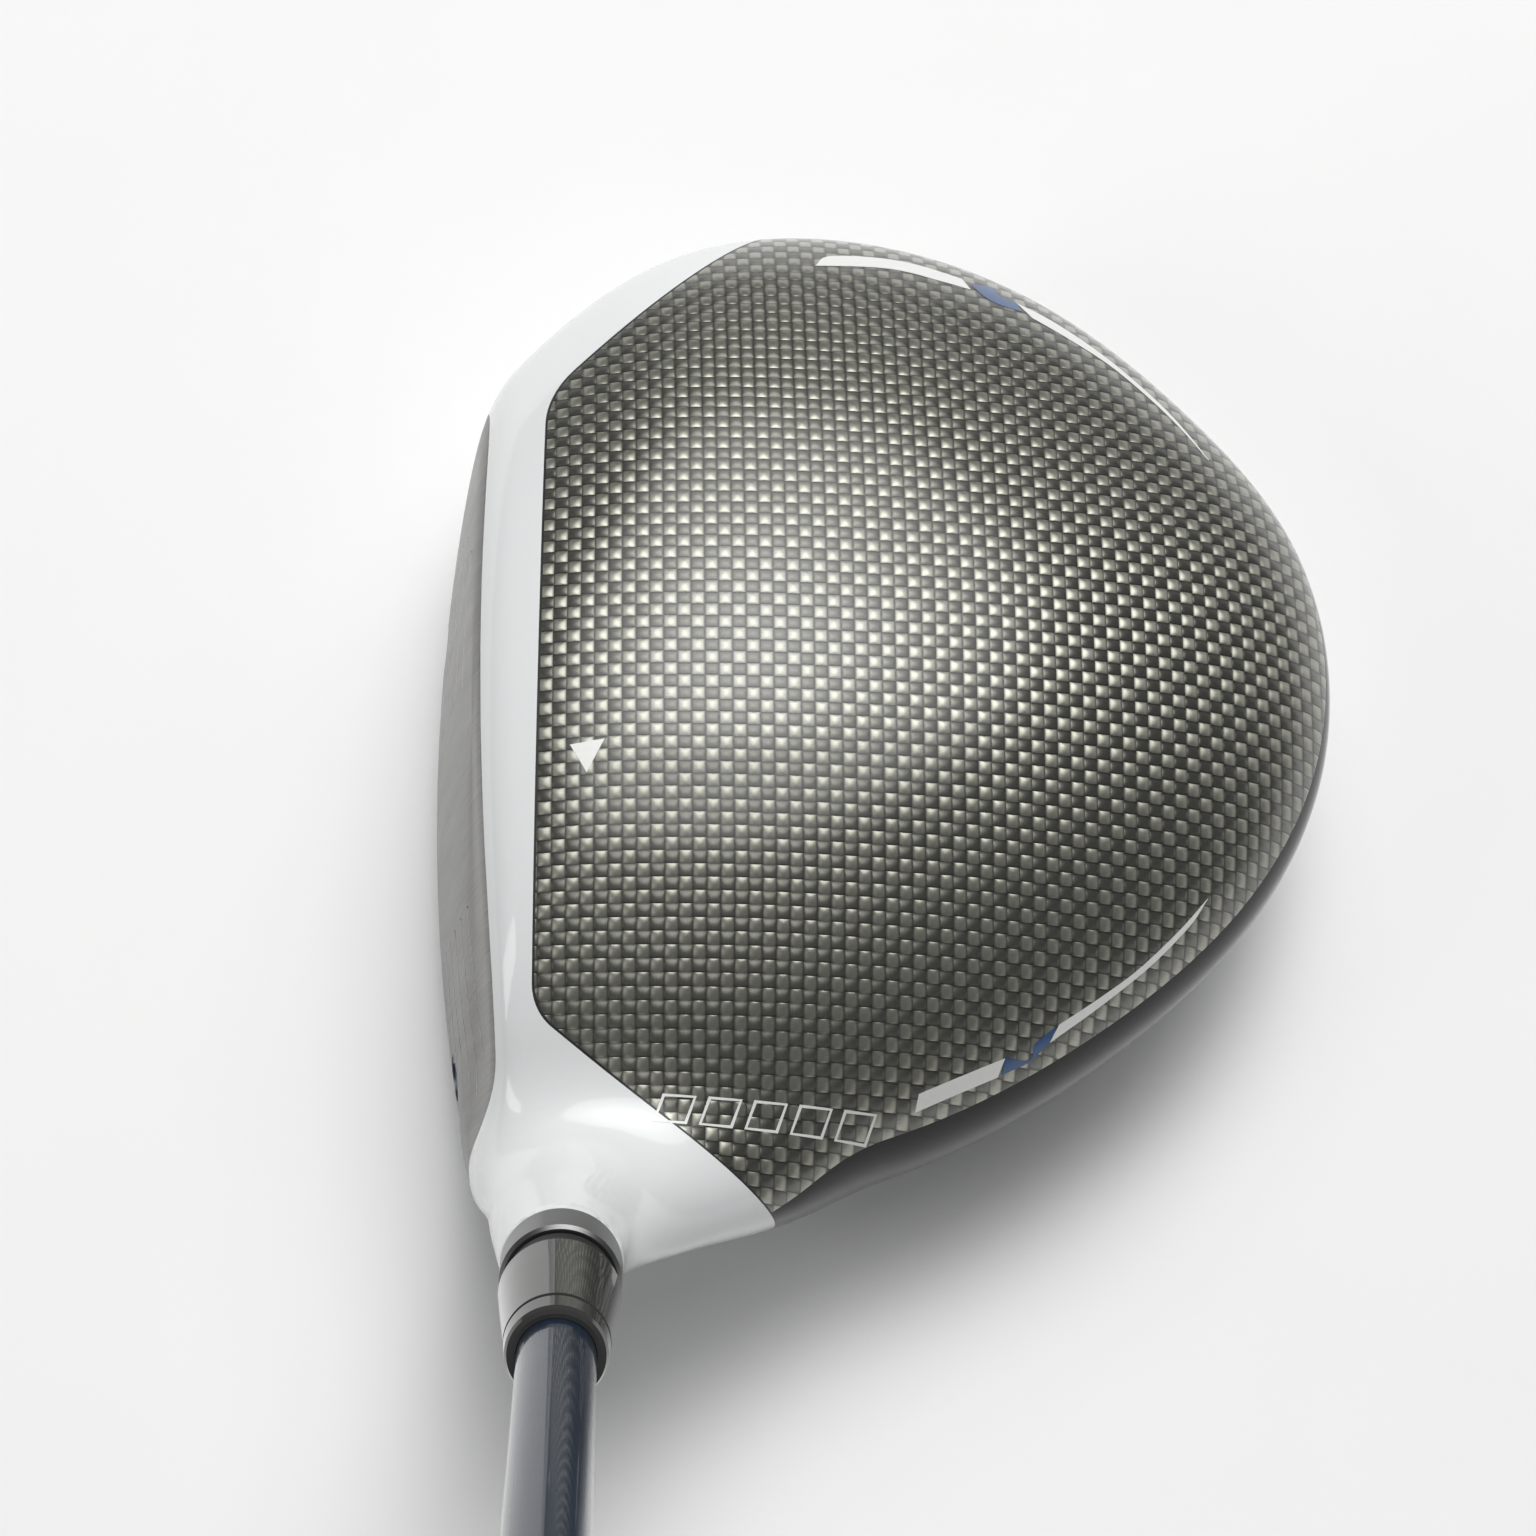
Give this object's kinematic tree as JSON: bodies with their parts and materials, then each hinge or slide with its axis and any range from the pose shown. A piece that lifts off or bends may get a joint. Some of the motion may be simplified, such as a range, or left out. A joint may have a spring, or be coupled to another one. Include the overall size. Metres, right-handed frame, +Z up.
{
  "type": "golf driver",
  "caption": "Large wood-type golf club with a hollow head, adjustable loft sleeve, movable sole weight, graphite shaft and rubber grip, standing at address.",
  "frame": {"origin": "the point where the sole touches the ground, under the middle of the face", "axes": "+Z up from the ground at address, +X from the face to the rear, +Y from the heel to the toe"},
  "size_m": [0.1151, 0.7317, 0.9959],
  "materials": {
    "body_paint": "gloss pearl white paint on cast titanium",
    "face_titanium": "milled titanium with fine upright lines",
    "carbon_weave": "plain weave carbon fibre under clear gloss resin",
    "black_gloss": "polished black",
    "keel_metal": "satin silver paint",
    "track_metal": "dark anodised",
    "blue_anodised": "blue anodised",
    "tungsten": "satin tungsten alloy",
    "screw_steel": "bead-blasted steel",
    "sleeve_aluminium": "grey anodised",
    "black_plastic": "satin",
    "ferrule_plastic": "polished",
    "shaft_paint": "deep blue gloss paint on carbon fibre",
    "tape": "double-sided paper tape",
    "grip_rubber": "textured"
  },
  "bodies": {
    "shaft_assembly": {"shaft": "shaft_paint", "loft_sleeve": "sleeve_aluminium", "ferrule_ring": "black_plastic", "ferrule": "ferrule_plastic", "grip_tape": "tape", "grip": "grip_rubber", "grip_cap": "grip_rubber"},
    "hosel_washer": {"hosel_washer": "screw_steel"},
    "head": {"head_body": "body_paint", "face_plate": "face_titanium", "crown_panel": "carbon_weave", "rear_rim": "black_gloss", "sole_panel_toe": "carbon_weave", "sole_panel_heel": "carbon_weave", "sole_keel": "keel_metal", "weight_track": "track_metal", "face_port_screws": "blue_anodised", "hosel_insert": "track_metal", "rear_weight": "tungsten"},
    "hosel_screw": {"hosel_screw": "screw_steel"},
    "slider": {"slider_weight": "tungsten"},
    "slider_nut": {"slider_nut": "screw_steel"},
    "slider_screw": {"slider_screw": "screw_steel"},
    "rear_screw": {"rear_weight_screw": "screw_steel"}
  },
  "joints": [
    {"name": "head_release", "type": "slide", "parent": "shaft_assembly", "child": "hosel_washer", "axis": [0, 0.5075, -0.8616], "range_m": [0, 0.045]},
    {"name": "sleeve_turn", "type": "hinge", "parent": "hosel_washer", "child": "head", "pos_m": [-0.018, -0.06282, 0.06183], "axis": [0, -0.5075, 0.8616], "continuous": true},
    {"name": "hosel_screw_turn", "type": "hinge", "parent": "head", "child": "hosel_screw", "pos_m": [-0.018, -0.03853, 0.0206], "axis": [0, 0.5075, -0.8616], "continuous": true},
    {"name": "weight_slide", "type": "hinge", "parent": "head", "child": "slider", "pos_m": [-0.015, 0.005, 0.1305], "axis": [1, 0, 0], "range_deg": [-6.9, 6.9]},
    {"name": "slider_screw_turn", "type": "hinge", "parent": "slider", "child": "slider_screw", "pos_m": [-0.015, 0.005, 0.0005], "axis": [0, 0, -1], "range_deg": [-270, 0]},
    {"name": "slider_nut_lift", "type": "slide", "parent": "slider", "child": "slider_nut", "axis": [0, 0, -1], "range_m": [-0.0006, 0]},
    {"name": "rear_screw_turn", "type": "hinge", "parent": "head", "child": "rear_screw", "pos_m": [0.07387, 0.01038, 0.0156], "axis": [0.947, 0.1331, -0.2924], "continuous": true}
  ],
  "couplings": [
    {"joint": "slider_screw_turn", "follows": "slider_nut_lift", "rad_per_m": 7854}
  ]
}
